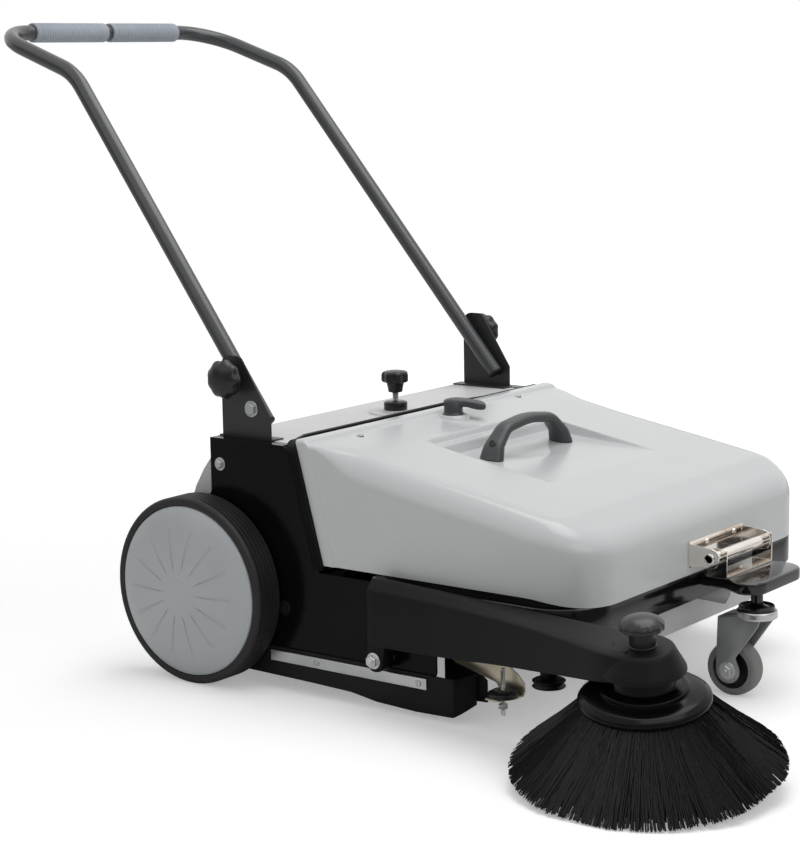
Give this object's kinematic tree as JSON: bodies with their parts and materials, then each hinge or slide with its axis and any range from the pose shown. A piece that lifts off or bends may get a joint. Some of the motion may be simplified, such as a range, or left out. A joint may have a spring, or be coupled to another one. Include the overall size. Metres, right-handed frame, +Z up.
{
  "type": "manual floor sweeper",
  "caption": "Walk-behind manual floor sweeper: tipping front hopper, wheel-driven cylindrical brush, side brush on an arm, swivel caster and folding push handle.",
  "frame": {"origin": "middle of the footprint on the floor", "axes": "+Z up, the front of the machine points along -Y, the operator's right is -X"},
  "size_m": [0.9754, 1.4972, 0.986],
  "materials": {
    "black_steel": "glossy black paint",
    "black_plastic": "moulded black",
    "gloss_black": "glossy moulded black",
    "tyre": "ribbed black rubber",
    "black_rubber": "satin black rubber",
    "grey_rubber": "grey non-marking rubber",
    "cover_grey": "satin moulded grey",
    "light_grey": "satin moulded light grey",
    "dark_grey": "satin moulded dark grey",
    "wheel_grey": "satin moulded mid grey",
    "bristle": "black nylon bristle",
    "zinc": "zinc plated",
    "yellow_zinc": "yellow zinc plated",
    "nickel": "polished nickel",
    "tube_grey": "dark grey satin paint",
    "grip_grey": "grey foam rubber"
  },
  "bodies": {
    "chassis": {"side_panel_right": "black_steel", "side_panel_left": "black_steel", "wheel_bearing_right": "black_plastic", "wheel_bearing_left": "black_plastic", "brush_bearing_right": "black_plastic", "brush_bearing_left": "black_plastic", "rear_top_plate": "light_grey", "rear_housing": "light_grey", "rear_skirt": "black_rubber", "hopper_seal": "black_rubber", "frame_band": "black_steel", "caster_shelf": "black_steel", "caster_stem": "black_steel", "drive_belt": "black_rubber", "hinge_base": "nickel", "hinge_tube": "nickel", "side_skirt_right": "black_rubber", "side_skirt_left": "black_rubber", "skirt_strip_right": "zinc", "skirt_strip_left": "zinc", "stop_bracket": "yellow_zinc", "stop_screw": "zinc", "stop_pad": "black_plastic", "arm_pivot_bolt": "zinc", "height_nut": "black_plastic", "handle_bracket_right": "black_steel", "handle_bracket_left": "black_steel", "fold_bolt_right": "zinc", "fold_bolt_left": "zinc"},
    "hopper": {"hopper_cover": "cover_grey", "hopper_bucket": "light_grey", "carry_handle": "dark_grey", "hinge_leaf": "nickel"},
    "latch_lever": {"latch_handle": "dark_grey", "latch_cam": "zinc"},
    "right_wheel": {"right_tyre": "tyre", "right_disc": "wheel_grey", "right_shaft": "zinc", "drive_pulley": "black_plastic"},
    "left_wheel": {"left_tyre": "tyre", "left_disc": "wheel_grey", "left_shaft": "zinc"},
    "main_brush": {"main_brush_core": "black_plastic", "main_brush_bristles": "bristle"},
    "side_arm": {"side_arm_body": "black_plastic"},
    "side_brush": {"side_brush_disc": "gloss_black", "side_brush_bristles": "bristle"},
    "side_knob": {"side_brush_knob": "black_plastic"},
    "arm_pulley": {"belt_pulley": "black_plastic"},
    "caster_fork": {"caster_fork_head": "zinc", "caster_bolt": "zinc"},
    "caster_wheel": {"caster_tyre": "grey_rubber", "caster_rim": "black_plastic"},
    "push_handle": {"handle_tube": "tube_grey", "grip_right": "grip_grey", "grip_left": "grip_grey"},
    "right_clamp": {"clamp_knob_right": "black_plastic"},
    "left_clamp": {"clamp_knob_left": "black_plastic"},
    "height_knob": {"height_knob_head": "black_plastic", "height_screw": "zinc"}
  },
  "joints": [
    {"name": "hopper_tip", "type": "hinge", "parent": "chassis", "child": "hopper", "pos_m": [0.10924, -0.46938, 0.2125], "axis": [1, 0, 0], "range_deg": [0, 90]},
    {"name": "latch_turn", "type": "hinge", "parent": "hopper", "child": "latch_lever", "pos_m": [0.08424, 0.01262, 0.372], "axis": [0, 0, 1], "range_deg": [0, 90]},
    {"name": "right_wheel_spin", "type": "hinge", "parent": "chassis", "child": "right_wheel", "pos_m": [-0.30376, 0.22562, 0.1415], "axis": [1, 0, 0], "continuous": true},
    {"name": "left_wheel_spin", "type": "hinge", "parent": "chassis", "child": "left_wheel", "pos_m": [0.46624, 0.22562, 0.1415], "axis": [1, 0, 0], "continuous": true},
    {"name": "main_brush_spin", "type": "hinge", "parent": "chassis", "child": "main_brush", "pos_m": [0.08124, 0.08062, 0.125], "axis": [1, 0, 0], "continuous": true},
    {"name": "side_arm_lift", "type": "hinge", "parent": "chassis", "child": "side_arm", "pos_m": [-0.26876, -0.10938, 0.082], "axis": [-1, 0, 0], "range_deg": [0, 8]},
    {"name": "side_brush_spin", "type": "hinge", "parent": "side_arm", "child": "side_brush", "pos_m": [-0.33176, -0.58038, 0.122], "axis": [-0.1578, -0.0493, 0.9862], "continuous": true},
    {"name": "side_knob_turn", "type": "hinge", "parent": "side_arm", "child": "side_knob", "pos_m": [-0.34596, -0.58482, 0.21076], "axis": [-0.1578, -0.0493, 0.9862], "range_deg": [0, 360]},
    {"name": "arm_pulley_spin", "type": "hinge", "parent": "side_arm", "child": "arm_pulley", "pos_m": [-0.29076, -0.40938, 0.104], "axis": [0, 0, 1], "continuous": true},
    {"name": "caster_swivel", "type": "hinge", "parent": "chassis", "child": "caster_fork", "pos_m": [0.10124, -0.50738, 0.14], "axis": [0, 0, 1], "continuous": true},
    {"name": "caster_spin", "type": "hinge", "parent": "caster_fork", "child": "caster_wheel", "pos_m": [0.10124, -0.47338, 0.04], "axis": [1, 0, 0], "continuous": true},
    {"name": "push_handle_fold", "type": "hinge", "parent": "chassis", "child": "push_handle", "pos_m": [0.08124, 0.15262, 0.412], "axis": [-1, 0, 0], "range_deg": [-125, 0]},
    {"name": "right_clamp_turn", "type": "hinge", "parent": "chassis", "child": "right_clamp", "pos_m": [-0.26876, 0.18592, 0.4565], "axis": [1, 0, 0], "range_deg": [0, 360]},
    {"name": "left_clamp_turn", "type": "hinge", "parent": "chassis", "child": "left_clamp", "pos_m": [0.43124, 0.18592, 0.4565], "axis": [1, 0, 0], "range_deg": [0, 360]},
    {"name": "height_knob_turn", "type": "hinge", "parent": "chassis", "child": "height_knob", "pos_m": [0.08124, 0.12312, 0.4], "axis": [0, 0, 1], "range_deg": [0, 360]}
  ],
  "couplings": [
    {"joint": "main_brush_spin", "follows": "right_wheel_spin", "ratio": -2},
    {"joint": "side_brush_spin", "follows": "right_wheel_spin", "ratio": 1.6},
    {"joint": "arm_pulley_spin", "follows": "right_wheel_spin", "ratio": 2.4}
  ]
}
